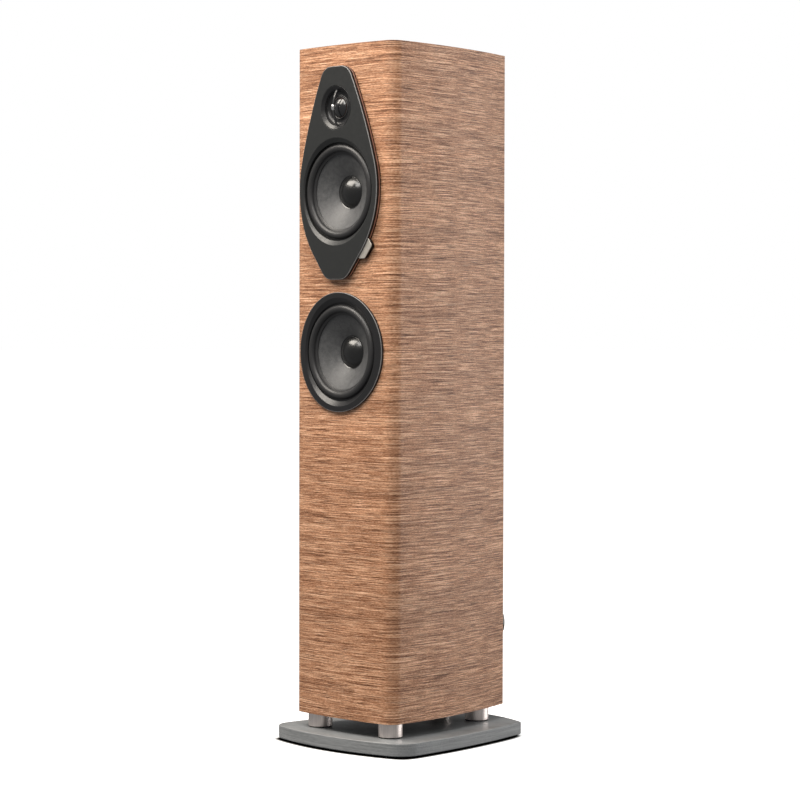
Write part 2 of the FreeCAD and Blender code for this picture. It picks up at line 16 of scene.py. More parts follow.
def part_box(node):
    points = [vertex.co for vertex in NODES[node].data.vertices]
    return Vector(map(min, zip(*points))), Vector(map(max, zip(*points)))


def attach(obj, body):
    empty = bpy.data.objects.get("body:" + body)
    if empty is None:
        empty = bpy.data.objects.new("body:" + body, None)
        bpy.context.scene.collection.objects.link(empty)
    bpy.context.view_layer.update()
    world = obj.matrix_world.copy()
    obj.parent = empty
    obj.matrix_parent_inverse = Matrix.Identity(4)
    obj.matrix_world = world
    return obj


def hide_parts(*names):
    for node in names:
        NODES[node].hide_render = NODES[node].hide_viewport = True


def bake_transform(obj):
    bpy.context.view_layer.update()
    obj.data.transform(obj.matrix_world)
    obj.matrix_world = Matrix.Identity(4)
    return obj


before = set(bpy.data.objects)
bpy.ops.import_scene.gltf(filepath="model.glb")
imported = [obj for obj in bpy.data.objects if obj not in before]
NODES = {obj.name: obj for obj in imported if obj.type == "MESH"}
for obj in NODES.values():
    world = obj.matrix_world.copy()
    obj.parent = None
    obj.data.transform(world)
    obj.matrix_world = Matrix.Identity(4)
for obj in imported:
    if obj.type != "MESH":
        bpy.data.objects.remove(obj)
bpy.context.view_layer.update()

MM = 0.001
CABINET_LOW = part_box("veneer_wrap")[0]
DESIGN_ORIGIN = Vector((0, CABINET_LOW.y, CABINET_LOW.z))

FRONT_HALF_WIDTH = 105.3
FRONT_BOW = 7.0
BOW_RADIUS = (FRONT_HALF_WIDTH ** 2 + FRONT_BOW ** 2) / (2 * FRONT_BOW)
DRIVER_OPENING = 71.7         # radius of the hole that shows a cone driver
FLANGE_SEAT = 79.8            # radius of the seat that a cone driver's flange fills
TWEETER_SEAT = 38.3           # radius of the seat that the tweeter's waveguide fills


# ---- places ----------------------------------------------------------------------------------------
def at(x, y, z):
    """A design frame point in millimetres as a row frame point in metres."""
    return DESIGN_ORIGIN + Vector((x, y, z)) * MM


def height_of(node):
    """Design frame height of a node's middle."""
    low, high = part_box(node)
    return ((low.z + high.z) / 2 - DESIGN_ORIGIN.z) / MM


def depth_of(node):
    """Design frame depth of a node's foremost point."""
    return (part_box(node)[0].y - DESIGN_ORIGIN.y) / MM


BASKET_SETBACK = 1.2          # a basket's flange lies this far behind the surround's lip
MID_Z, MID_LIP = height_of("mid_basket"), depth_of("mid_basket") - BASKET_SETBACK
WOOFER_Z, WOOFER_LIP = height_of("woofer_basket"), depth_of("woofer_basket") - BASKET_SETBACK
TWEETER_Z = height_of("tweeter_waveguide")
TERMINAL_Z = height_of("terminal_dish")


def bowed(proud, x):
    """Depth of the surface that stands proud of the bowed front, at x."""
    return BOW_RADIUS - math.sqrt((BOW_RADIUS + proud) ** 2 - x * x)


# ---- outlines --------------------------------------------------------------------------------------
def circle_through(a, b, c):
    """Centre and radius of the circle through three points."""
    a, b, c = np.array(a, float), np.array(b, float), np.array(c, float)
    left = 2 * np.array([b - a, c - a])
    centre = np.linalg.solve(left, [b @ b - a @ a, c @ c - a @ a])
    return centre, float(np.hypot(*(a - centre)))


def arc(start, via, end, steps=48):
    """Points from start through via to end on one circle."""
    centre, radius = circle_through(start, via, end)
    angles = [math.atan2(p[1] - centre[1], p[0] - centre[0]) for p in (start, via, end)]
    first, middle, last = angles
    turn = (last - first) % math.tau
    if (middle - first) % math.tau > turn:
        turn -= math.tau
    return [(centre[0] + radius * math.cos(first + turn * k / steps),
             centre[1] + radius * math.sin(first + turn * k / steps)) for k in range(steps + 1)]


def line(start, end, steps=48):
    """Evenly spaced points from start to end."""
    return [(start[0] + (end[0] - start[0]) * k / steps,
             start[1] + (end[1] - start[1]) * k / steps) for k in range(steps + 1)]


def left_normals(path, closed=False):
    """Unit vectors to the left of a path at each of its points."""
    path = np.array(path, float)
    if closed:
        tangent = np.roll(path, -1, axis=0) - np.roll(path, 1, axis=0)
    else:
        tangent = np.gradient(path, axis=0)
    normal = np.stack([-tangent[:, 1], tangent[:, 0]], axis=1)
    return normal / np.linalg.norm(normal, axis=1)[:, None]


def fillet(before, after, radius, steps=14):
    """The arc that rounds the corner between two paths, and where each path is cut."""
    inner_before = np.array(before) + left_normals(before) * radius
    inner_after = np.array(after) + left_normals(after) * radius
    for i in range(len(before) - 2, -1, -1):
        for j in range(len(after) - 1):
            hit = intersect_line_line_2d(inner_before[i], inner_before[i + 1],
                                         inner_after[j], inner_after[j + 1])
            if hit is not None:
                first = -left_normals(before)[i]
                last = -left_normals(after)[j]
                start = math.atan2(first[1], first[0])
                turn = (math.atan2(last[1], last[0]) - start) % math.tau
                angles = [start + turn * k / steps for k in range(steps + 1)]
                bend = [(hit.x + radius * math.cos(a), hit.y + radius * math.sin(a)) for a in angles]
                return bend, i + 1, j + 1
    raise ValueError("the corner is too tight for its radius")


def closed_outline(edges, radii, spacing):
    """Join paths that run counterclockwise, rounding the corner after each one, at an even spacing."""
    count = len(edges)
    starts, ends, bends = [0] * count, [len(edge) for edge in edges], [[]] * count
    for k, radius in enumerate(radii):
        if radius:
            after = (k + 1) % count
            bends[k], ends[k], starts[after] = fillet(edges[k], edges[after], radius)
    points = []
    for k, edge in enumerate(edges):
        points += edge[starts[k]:ends[k]] + bends[k]
    return resampled(points, spacing)


def resampled(points, spacing):
    """The same closed outline with its points evenly spaced."""
    loop = np.array(points + points[:1], float)
    along = np.concatenate([[0], np.cumsum(np.linalg.norm(np.diff(loop, axis=0), axis=1))])
    count = int(round(along[-1] / spacing))
    wanted = np.arange(count) * along[-1] / count
    return np.stack([np.interp(wanted, along, loop[:, k]) for k in (0, 1)], axis=1)


def mirrored(path):
    """The path on the other side of x = 0, run the other way."""
    return [(-x, z) for x, z in reversed(path)]


def rounded(corners, steps=5):
    """A closed profile of (a, b) or (a, b, radius) corners, with the radii put in as arcs."""
    points = []
    for k, corner in enumerate(corners):
        here = Vector(corner[:2])
        if len(corner) == 2:
            points.append(tuple(here))
            continue
        radius = corner[2]
        to_last = (Vector(corners[k - 1][:2]) - here).normalized()
        to_next = (Vector(corners[(k + 1) % len(corners)][:2]) - here).normalized()
        half = to_last.angle(to_next) / 2
        centre = here + (to_last + to_next).normalized() * (radius / math.sin(half))
        first = here + to_last * (radius / math.tan(half)) - centre
        last = here + to_next * (radius / math.tan(half)) - centre
        for step in range(steps + 1):
            points.append(tuple(centre + first.slerp(last, step / steps).normalized() * radius))
    return points


# ---- meshes ----------------------------------------------------------------------------------------
ROUND_STEPS = 144             # points round a driver's rings and holes
SMALL_ROUND_STEPS = 96        # points round a dome or a dust cap
ROW_STEP = 0.866              # a scatter's row spacing over its column spacing, for even triangles
EDGE_GAP = 0.55               # how near a scattered point comes to an edge, over the column spacing


def piece(name, bm, materials, sharp_angle=42):
    """A shaded object from a bmesh. Flat faces stay flat beside their rounded edges."""
    bmesh.ops.remove_doubles(bm, verts=bm.verts, dist=1e-7)
    bmesh.ops.recalc_face_normals(bm, faces=bm.faces)
    mesh = bpy.data.meshes.new(name)
    bm.to_mesh(mesh)
    bm.free()
    mesh.shade_smooth()
    mesh.set_sharp_from_angle(angle=math.radians(sharp_angle))
    for material in materials:
        mesh.materials.append(material)
    obj = bpy.data.objects.new(name, mesh)
    bpy.context.scene.collection.objects.link(obj)
    weighted = obj.modifiers.new("flat faces", "WEIGHTED_NORMAL")
    weighted.keep_sharp = True
    return obj


def stands_for(obj, body, slot, *nodes):
    """Put a piece in the place of CAD nodes, on their body."""
    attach(obj, body)
    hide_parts(*nodes)
    return obj


def bridge(bm, loop_a, loop_b, material=0):
    """Quads between two closed loops of the same number of vertices. A loop of one vertex is a pole."""
    count = max(len(loop_a), len(loop_b))
    if len(loop_a) == 1 and len(loop_b) == 1:
        return
    for k in range(count):
        after = (k + 1) % count
        corners = []
        for vertex in (loop_a[k % len(loop_a)], loop_a[after % len(loop_a)],
                       loop_b[after % len(loop_b)], loop_b[k % len(loop_b)]):
            if vertex not in corners:
                corners.append(vertex)
        bm.faces.new(corners).material_index = material


def loft(bm, loops, closed=False, material=0):
    """Bridge each loop of vertices to the next."""
    for loop_a, loop_b in zip(loops, loops[1:]):
        bridge(bm, loop_a, loop_b, material)
    if closed:
        bridge(bm, loops[-1], loops[0], material)


def turned_loops(bm, profile, place, steps, axis="Y"):
    """Loops of vertices for (radius, depth) points turned about a line through place, along Y or Z."""
    loops = []
    for radius, depth in profile:
        loop = []
        for k in range(steps if radius > 1e-6 else 1):
            angle = math.tau * k / steps
            across, up = radius * math.cos(angle), radius * math.sin(angle)
            offset = Vector((across, depth, up)) if axis == "Y" else Vector((across, up, depth))
            loop.append(bm.verts.new(place + offset * MM))
        loops.append(loop)
    return loops


def turned(name, profile, places, material, steps=ROUND_STEPS, axis="Y"):
    """Solids of revolution with one closed profile, at one or more places."""
    bm = bmesh.new()
    for place in places:
        loft(bm, turned_loops(bm, profile, place, steps, axis), closed=True)
    return piece(name, bm, [material])


def inside(points, loop):
    """Which of the points lie inside a closed outline."""
    x, y = points[:, 0][:, None], points[:, 1][:, None]
    ax, ay = loop[:, 0], loop[:, 1]
    bx, by = np.roll(ax, -1), np.roll(ay, -1)
    crosses = (ay > y) != (by > y)
    run = np.where(by == ay, 1.0, by - ay)
    return (crosses & (x < ax + (y - ay) / run * (bx - ax))).sum(axis=1) % 2 == 1


def fill(bm, loops, place, spacing, material=0):
    """Triangles between an outer outline and its holes, with an even scatter of points in between.

    Each loop is (outline, vertices). place gives the row frame point of an (a, b) point.
    """
    outline = loops[0][0]
    low, high = outline.min(axis=0), outline.max(axis=0)
    grid = np.array([(a + spacing / 2 * (row % 2), b)
                     for row, b in enumerate(np.arange(low[1], high[1], spacing * ROW_STEP))
                     for a in np.arange(low[0], high[0], spacing)])
    keep = inside(grid, outline)
    for loop, _ in loops[1:]:
        keep &= ~inside(grid, loop)
    edge_points = np.concatenate([loop for loop, _ in loops])
    grid = grid[keep]
    gap = np.array([np.hypot(*(edge_points - point).T).min() for point in grid])
    grid = grid[gap > spacing * EDGE_GAP]

    points, edges, vertices = [], [], []
    for loop, loop_vertices in loops:
        first = len(points)
        points += [Vector(p) for p in loop]
        edges += [(first + k, first + (k + 1) % len(loop)) for k in range(len(loop))]
        vertices += loop_vertices
    points += [Vector(p) for p in grid]
    vertices += [bm.verts.new(place(*p)) for p in grid]
    found, _, triangles, sources, _, _ = delaunay_2d_cdt(points, edges, [], 0, 1e-7)
    found = np.array([tuple(p) for p in found])
    middles = np.array([found[list(triangle)].mean(axis=0) for triangle in triangles])
    keep = inside(middles, outline)
    for loop, _ in loops[1:]:
        keep &= ~inside(middles, loop)
    for triangle, wanted in zip(triangles, keep):
        if wanted:
            corners = [vertices[sources[k][0]] for k in triangle]
            bm.faces.new(corners).material_index = material


# ---- material nodes --------------------------------------------------------------------------------
class Shading:
    """A node material under construction, with short calls for the nodes that are used here."""

    def __init__(self, name, **sockets):
        self.material = bpy.data.materials.new(name)
        self.material.use_nodes = True
        self.tree = self.material.node_tree
        self.shader = self.tree.nodes["Principled BSDF"]
        for socket, value in sockets.items():
            self.shader.inputs[socket.replace("_", " ")].default_value = value
        self.coordinates = self.tree.nodes.new("ShaderNodeTexCoord")
        self.here = self.coordinates.outputs["Object"]

    def node(self, kind, inputs, output=0, **settings):
        """Add a node, with its inputs linked or set, and return one of its outputs."""
        made = self.tree.nodes.new(kind)
        for key, value in settings.items():
            setattr(made, key, value)
        for key, value in inputs.items():
            if isinstance(value, bpy.types.NodeSocket):
                self.tree.links.new(value, made.inputs[key])
            else:
                made.inputs[key].default_value = value
        return made.outputs[output]

    def scaled(self, scale, source=None):
        return self.node("ShaderNodeMapping", {"Vector": source or self.here, "Scale": scale})

    def noise(self, scale, detail=2.0, roughness=0.5, distortion=0.0, source=None):
        """Noise with features of about 1 / scale metres. scale may differ by axis."""
        if isinstance(scale, tuple):
            source, scale = self.scaled(scale, source), 1.0
        return self.node("ShaderNodeTexNoise", {"Vector": source or self.here, "Scale": scale,
                                                "Detail": detail, "Roughness": roughness,
                                                "Distortion": distortion})

    def parts(self, output="Object"):
        """The X, Y and Z of the object coordinates or of the normal, each on its own."""
        split = self.tree.nodes.new("ShaderNodeSeparateXYZ")
        self.tree.links.new(self.coordinates.outputs[output], split.inputs[0])
        return list(split.outputs)

    def math(self, operation, a, b=0.0):
        return self.node("ShaderNodeMath", {0: a, 1: b}, operation=operation)

    def span(self, value, low, high, to_low=0.0, to_high=1.0):
        """Map low..high to to_low..to_high, and hold it at the ends."""
        return self.node("ShaderNodeMapRange", {"Value": value, "From Min": low, "From Max": high,
                                                "To Min": to_low, "To Max": to_high})

    def ramp(self, value, *stops):
        """Colour by value, from (position, colour) stops."""
        made = self.tree.nodes.new("ShaderNodeValToRGB")
        self.tree.links.new(value, made.inputs["Fac"])
        stop_list = made.color_ramp.elements
        while len(stop_list) < len(stops):
            stop_list.new(0.5)
        for element, (position, colour) in zip(stop_list, stops):
            element.position = position
            element.color = (*colour, 1.0)
        return made.outputs["Color"]

    def mix(self, share, a, b, blend_type="MIX"):
        """Blend two colours."""
        made = self.tree.nodes.new("ShaderNodeMix")
        made.data_type = "RGBA"
        made.blend_type = blend_type
        for key, value in ((0, share), (6, a), (7, b)):
            if isinstance(value, bpy.types.NodeSocket):
                self.tree.links.new(value, made.inputs[key])
            else:
                made.inputs[key].default_value = value if key == 0 else (*value, 1.0)
        return made.outputs[2]

    def set(self, socket, value):
        """Link a value into a socket of the shader."""
        self.tree.links.new(value, self.shader.inputs[socket])

    def bump(self, height, depth_mm, strength=1.0):
        self.set("Normal", self.node("ShaderNodeBump", {"Height": height, "Strength": strength,
                                                        "Distance": depth_mm * MM}))


def shade(colour, factor):
    return tuple(channel * factor for channel in colour)


# ---- materials -------------------------------------------------------------------------------------
def veneer():
    """Fine veneer with leaf bands, short streaks and dark pores.

    Its grain runs level round the cabinet, and across the top.
    """
    brown = ((0.10, 0.035, 0.014), (0.36, 0.160, 0.078), (0.575, 0.285, 0.154), (1.0, 0.63, 0.41))
    pore_brown = (0.075, 0.026, 0.010)
    waviness = 0.004                                   # metres that a grain line strays from level
    line_share, dash_share, speck_share = 0.46, 0.34, 0.20
    pore_share = 0.75
    low, high = 0.32, 0.68                             # the noise seldom leaves this range

    s = Shading("veneer", Roughness=0.5)
    lift = s.math("MULTIPLY", s.math("SUBTRACT", s.noise((5, 5, 9), detail=2.0), 0.5), waviness)
    x, y, z = s.parts()
    lying = s.node("ShaderNodeCombineXYZ", {"X": x, "Y": z, "Z": y})
    upward = s.math("GREATER_THAN", s.math("ABSOLUTE", s.parts("Normal")[2]), 0.7)
    along = s.node("ShaderNodeMix", {0: upward, 4: s.here, 5: lying}, output=1, data_type="VECTOR")
    wavy = s.node("ShaderNodeVectorMath", {0: along, 1: s.node("ShaderNodeCombineXYZ", {"Z": lift})},
                  operation="ADD")
    bands = s.noise((1.6, 1.6, 34), detail=3.0, roughness=0.65, source=wavy)
    lines = s.span(s.noise((12, 12, 1200), detail=2.0, roughness=0.6, source=wavy), low, high)
    dashes = s.span(s.noise((34, 34, 1600), detail=2.0, roughness=0.6, source=wavy), low, high)
    specks = s.span(s.noise((260, 260, 1500), detail=1.0, source=wavy), low, high)
    grain = s.math("ADD", s.math("MULTIPLY", lines, line_share),
                   s.math("ADD", s.math("MULTIPLY", dashes, dash_share),
                          s.math("MULTIPLY", specks, speck_share)))
    wood = s.ramp(grain, *zip((0.22, 0.41, 0.55, 0.76), brown))
    tone = s.span(bands, low, high, 0.86, 1.10)
    wood = s.mix(1.0, wood, s.node("ShaderNodeCombineXYZ", {"X": tone, "Y": tone, "Z": tone}), "MULTIPLY")
    pores = s.span(s.noise((30, 30, 1300), detail=1.0, source=wavy), 0.62, 0.68)
    wood = s.mix(s.math("MULTIPLY", pores, pore_share), wood, pore_brown)
    s.set("Base Color", wood)
    s.set("Roughness", s.span(grain, 0.2, 0.8, 0.56, 0.42))
    s.bump(s.math("SUBTRACT", grain, pores), 0.1, 0.5)
    return s.material


def mottled(name, colour, scale, contrast, roughness, bump_mm=0.0, **sockets):
    """An even finish with the slight unevenness that a moulded, cast or coated surface has."""
    s = Shading(name, **sockets)
    spots = s.span(s.noise(scale, detail=4.0, roughness=0.6), 0.3, 0.7)
    s.set("Base Color", s.mix(spots, shade(colour, 1 - contrast), shade(colour, 1 + contrast)))
    wear = s.noise(scale * 0.11, detail=3.0)
    s.set("Roughness", s.span(wear, 0.3, 0.7, roughness * 0.88, roughness * 1.12))
    if bump_mm:
        s.bump(spots, bump_mm, 0.5)
    return s.material


def brushed(name, colour, scale, roughness, bump_mm=0.02, **sockets):
    """Metal or lacquer with fine lines. scale gives the lines' fineness along each axis."""
    s = Shading(name, **sockets)
    lines = s.span(s.noise(scale, detail=3.0, roughness=0.6), 0.3, 0.7)
    s.set("Base Color", s.mix(lines, shade(colour, 0.9), shade(colour, 1.08)))
    s.set("Roughness", s.math("ADD", s.math("MULTIPLY", lines, roughness * 0.35), roughness * 0.82))
    s.bump(lines, bump_mm, 0.4)
    return s.material


def cone_pulp():
    """Pressed dark paper pulp with scattered lighter fibres."""
    s = Shading("cone_pulp", Roughness=0.6)
    cloud = s.span(s.noise(160, detail=4.0, roughness=0.65), 0.3, 0.7)
    fibre = s.span(s.noise(900, detail=2.0, distortion=2.5), 0.56, 0.72)
    base = s.mix(cloud, (0.060, 0.061, 0.063), (0.105, 0.106, 0.108))
    s.set("Base Color", s.mix(s.math("MULTIPLY", fibre, 0.5), base, (0.19, 0.19, 0.19)))
    s.set("Roughness", s.span(cloud, 0.0, 1.0, 0.42, 0.54))
    s.bump(s.math("ADD", cloud, fibre), 0.06, 0.6)
    return s.material


def spider_cloth():
    """Varnished woven cloth."""
    s = Shading("spider_cloth", Roughness=0.8)
    rows = s.node("ShaderNodeTexWave", {"Vector": s.here, "Scale": 260.0}, bands_direction="X")
    columns = s.node("ShaderNodeTexWave", {"Vector": s.here, "Scale": 260.0}, bands_direction="Z")
    weave = s.math("MULTIPLY", s.math("ADD", rows, columns), 0.5)
    s.set("Base Color", s.mix(weave, (0.10, 0.075, 0.03), (0.30, 0.23, 0.11)))
    s.bump(weave, 0.15)
    return s.material


def board(name, low, high):
    """Sawn fibreboard."""
    s = Shading(name, Roughness=0.75)
    flecks = s.noise((700, 700, 260), detail=4.0, roughness=0.7)
    s.set("Base Color", s.mix(s.span(flecks, 0.35, 0.65), low, high))
    s.bump(flecks, 0.08, 0.5)
    return s.material


def wound_copper():
    """Enamelled copper wire, wound in close turns."""
    s = Shading("copper_wire", Metallic=1.0, Roughness=0.3)
    turns = s.node("ShaderNodeTexWave", {"Vector": s.here, "Scale": 320.0}, bands_direction="Z")
    s.set("Base Color", s.mix(turns, (0.42, 0.13, 0.05), (0.86, 0.40, 0.20)))
    s.bump(turns, 0.15)
    return s.material


def base_lacquer():
    """Grey lacquer over a faintly grained board."""
    s = Shading("plate_lacquer", Roughness=0.4, Coat_Weight=0.1, Coat_Roughness=0.2)
    grain = s.noise((14, 14, 520), detail=3.0, roughness=0.6)
    flecks = s.noise((60, 520, 900), detail=2.0)
    tone = s.span(s.math("ADD", s.math("MULTIPLY", grain, 0.6), s.math("MULTIPLY", flecks, 0.4)), 0.36, 0.64)
    s.set("Base Color", s.mix(tone, (0.196, 0.203, 0.207), (0.342, 0.353, 0.360)))
    s.set("Roughness", s.span(tone, 0.0, 1.0, 0.50, 0.38))
    s.bump(tone, 0.05, 0.5)
    return s.material


def all_materials():
    """One finish for each of the record's material slots.

    A mottled finish is its colour, spots to the metre, contrast, roughness and relief in millimetres, and
    a brushed one its colour, lines to the metre along each axis, and roughness.
    """
    made = [
        veneer(), cone_pulp(), spider_cloth(), wound_copper(), base_lacquer(),
        board("board", (0.20, 0.12, 0.065), (0.36, 0.24, 0.14)),
        board("painted_board", (0.012, 0.012, 0.012), (0.02, 0.02, 0.02)),
        mottled("panel_coat", (0.020, 0.021, 0.021), 1500, 0.12, 0.40, 0.03, Coat_Weight=0.05),
        mottled("trim_black", (0.014, 0.014, 0.015), 1200, 0.12, 0.33, 0.02),
        mottled("gloss_black", (0.005, 0.005, 0.005), 700, 0.2, 0.30, 0.0, Coat_Weight=0.7,
                Coat_Roughness=0.19),
        mottled("cast_frame", (0.03, 0.03, 0.03), 900, 0.2, 0.5, 0.06),
        mottled("surround_rubber", (0.026, 0.026, 0.027), 500, 0.15, 0.42, 0.01),
        mottled("dome_film", (0.012, 0.012, 0.013), 500, 0.2, 0.26, 0.0, Coat_Weight=0.7,
                Coat_Roughness=0.12),
        mottled("steel", (0.48, 0.48, 0.47), 240, 0.08, 0.34, 0.01, Metallic=1.0),
        mottled("ferrite", (0.035, 0.036, 0.038), 600, 0.2, 0.55, 0.05),
        mottled("black_screw", (0.02, 0.02, 0.02), 800, 0.1, 0.35, 0.01, Metallic=0.6),
        mottled("bridge_metal", (0.03, 0.03, 0.031), 900, 0.1, 0.25, 0.0, Coat_Weight=0.3),
        mottled("circuit_board", (0.01, 0.09, 0.03), 300, 0.2, 0.4, 0.02),
        mottled("capacitor_film", (0.35, 0.27, 0.04), 250, 0.08, 0.3, 0.0),
        mottled("resistor_ceramic", (0.62, 0.6, 0.55), 800, 0.05, 0.7, 0.05),
        mottled("plug_brass", (0.83, 0.6, 0.22), 300, 0.05, 0.2, 0.0, Metallic=1.0),
        mottled("nut_metal", (0.62, 0.6, 0.56), 500, 0.05, 0.24, 0.01, Metallic=1.0),
        mottled("felt", (0.32, 0.31, 0.3), 900, 0.25, 0.95, 0.3),
        mottled("foot_rubber", (0.014, 0.014, 0.014), 700, 0.15, 0.7, 0.04),
        brushed("tab_metal", (0.66, 0.62, 0.56), (500, 500, 2600), 0.45, Metallic=0.75),
        brushed("nickel", (0.93, 0.84, 0.80), (520, 520, 5), 0.33, bump_mm=0.004, Metallic=1.0),
    ]
    return {material.name: material for material in made}


def dress_nodes():
    """Give every CAD node the finish of its material slot, in place of the plain one it came with."""
    slots = {name: node.material_slots[0].material.name for name, node in NODES.items()}
    for plain in list(bpy.data.materials):
        bpy.data.materials.remove(plain)
    look = all_materials()
    for name, node in NODES.items():
        node.material_slots[0].material = look[slots[name]]
    return look


def edge_materials():
    """Finishes of edges and small parts that the record has no slot for."""
    made = [
        # black for the panel's edge, and for the bands under the panel and the tab, which are painted shadow
        # in their gaps
        mottled("black_edge_and_gap_shadow", (0.003, 0.003, 0.003), 900, 0.2, 0.36, 0.0, Specular_IOR_Level=0.3),
        # grey painted highlight for the rounded rims of the black panel and the woofer's black ring
        mottled("painted_rim_highlight", (0.23, 0.23, 0.232), 600, 0.1, 0.28, 0.0),
        # painted shade: a darker, pinker copy of the tab's metal for the layer's edge band, the pink a painted
        # reflection of the veneer
        brushed("layer_metal_painted_shade", (0.46, 0.33, 0.30), (300, 300, 2600), 0.36, Metallic=1.0),
        mottled("nub_silver", (0.86, 0.85, 0.83), 300, 0.04, 0.16, 0.0, Metallic=1.0),
    ]
    return {material.name: material for material in made}


LOOK = dress_nodes()
LOOK.update(edge_materials())


# ---- outline of the base plate ---------------------------------------------------------------------
PLATE_TOP, PLATE_BOTTOM = -22.6, -41.1


def plate_arcs():
    """The plate's front, right, rear and left edges in plan, each as three points, counterclockwise."""
    front_half, front_y, corner_y = 141.5, -27.2, -3.2
    rear_half, rear_y, rear_bow, bulge = 100.7, 281.4, 22.9, 9.5
    side = Vector((rear_half - front_half, rear_y - corner_y))
    outward = Vector((side.y, -side.x)).normalized()
    middle = Vector(((front_half + rear_half) / 2, (corner_y + rear_y) / 2)) + outward * bulge
    right = [(front_half, corner_y), tuple(middle), (rear_half, rear_y)]
    return [[(-front_half, corner_y), (0, front_y), (front_half, corner_y)], right,
            [(rear_half, rear_y), (0, rear_y + rear_bow), (-rear_half, rear_y)], mirrored(right)]


def plate_outline():
    """The plate in plan, with wide front corners and tight rear ones."""
    front_radius, rear_radius = 34, 2
    return closed_outline([arc(*points) for points in plate_arcs()],
                          (front_radius, rear_radius, rear_radius, front_radius), spacing=3.0)


# ---- camera, light and stage -----------------------------------------------------------------------
FLOOR_GLOW = 0.82             # enough with the studio's light to make white paper pure white
# near black colour painted on the floor under the plate as a contact shadow
PAINTED_CONTACT_SHADOW = (0.004, 0.004, 0.004)
ROOM_LIGHT = 0.24
LAMP_DISTANCE = 2.4
LAMP_TARGET = Vector((0, -0.15, 0.78))  # among the drivers


def add_camera():
    """A long lens at about the woofer's height, which sees the front and the right side."""
    camera = bpy.data.objects.new("camera", bpy.data.cameras.new("camera"))
    bpy.context.scene.collection.objects.link(camera)
    heading, roll = math.radians(45.64), math.radians(0.12)
    ahead = Vector((-math.sin(heading), math.cos(heading), 0))
    right = Vector((math.cos(heading), math.sin(heading), 0))
    reach, aside, drop = 2656, 13.4, 70.0
    aim = ahead * reach - right * aside - Vector((0, 0, drop))
    facing = aim.to_track_quat("-Z", "Y") @ Quaternion((0, 0, 1), roll)
    camera.location = (2.849, -2.785, 0.614)
    camera.rotation_euler = facing.to_euler()
    camera.data.lens = 119.5
    camera.data.sensor_width = 36.0
    camera.data.clip_end = 100.0
    bpy.context.scene.camera = camera


def softbox(name, place, target, size, power, colour):
    """A rectangular lamp that faces its target."""
    lamp = bpy.data.lights.new(name, "AREA")
    lamp.shape = "RECTANGLE"
    lamp.size, lamp.size_y = size
    lamp.energy = power
    lamp.color = colour
    obj = bpy.data.objects.new(name, lamp)
    bpy.context.scene.collection.objects.link(obj)
    obj.location = place
    obj.rotation_euler = (Vector(target) - Vector(place)).to_track_quat("-Z", "Y").to_euler()


def add_floor():
    """White paper that glows, so that it stays white out to the horizon; under the plate it has no glow and a
    near black colour, a painted contact shadow.

    The paper is lit beyond the plate's outline, which is where a point is outside one of its four arcs.
    """
    bm = bmesh.new()
    bmesh.ops.create_grid(bm, x_segments=2, y_segments=2, size=60.0)
    floor = piece("floor", bm, [])
    floor.modifiers.clear()
    look = Shading("floor_paper", Roughness=0.9, Emission_Color=(1, 1, 1, 1),
                   Specular_IOR_Level=0.0)
    beyond = None
    for arc_points in plate_arcs():
        (x, y), radius = circle_through(*arc_points)
        middle = at(x, y, 0)
        middle.z = 0
        from_middle = look.node("ShaderNodeVectorMath", {0: look.here, 1: middle}, output=1,
                                operation="DISTANCE")
        past = look.math("SUBTRACT", from_middle, radius * MM)
        beyond = past if beyond is None else look.node("ShaderNodeMath", {0: beyond, 1: past, 2: 0.03},
                                                       operation="SMOOTH_MAX")
    # no glow under the plate's outline, so that the painted contact shadow there stays dark
    look.set("Emission Strength", look.span(beyond, 0.001, 0.009, 0.0, FLOOR_GLOW))
    paper = look.mix(look.noise(4.0), (0.88, 0.88, 0.88), (0.93, 0.93, 0.93))
    # painted contact shadow: near black paper colour under the plate's outline
    look.set("Base Color", look.mix(look.span(beyond, -0.001, 0.006), PAINTED_CONTACT_SHADOW, paper))
    floor.data.materials.append(look.material)
    floor.visible_glossy = False
    floor.visible_diffuse = False


def add_world():
    """White behind the object, and a dim room round it that lets its dark parts stay dark."""
    world = bpy.data.worlds.new("studio")
    world.use_nodes = True
    tree = world.node_tree
    background = tree.nodes["Background"]
    path = tree.nodes.new("ShaderNodeLightPath")
    level = tree.nodes.new("ShaderNodeMapRange")
    level.inputs["To Min"].default_value = ROOM_LIGHT
    level.inputs["To Max"].default_value = 1.0
    tree.links.new(path.outputs["Is Camera Ray"], level.inputs["Value"])
    tree.links.new(level.outputs["Result"], background.inputs["Strength"])
    background.inputs["Color"].default_value = (1.0, 1.0, 1.0, 1.0)
    bpy.context.scene.world = world


def add_stage():
    """Floor, world and three softboxes. Each lamp is its direction, size in metres, watts and colour."""
    add_floor()
    add_world()
    for name, toward, size, power, colour in (
            ("key_left", (-0.35, -0.52, 0.78), (1.8, 1.5), 84, (1.0, 0.93, 0.84)),
            ("key_right", (0.39, -0.52, 0.77), (1.4, 1.3), 48, (1.0, 0.96, 0.91)),
            ("side", (0.50, 0.86, 0.04), (2.0, 2.4), 30, (1.0, 0.98, 0.96))):
        softbox(name, LAMP_TARGET + Vector(toward) * LAMP_DISTANCE, LAMP_TARGET, size, power, colour)
    bpy.context.scene.view_settings.view_transform = "Standard"


add_camera()
add_stage()


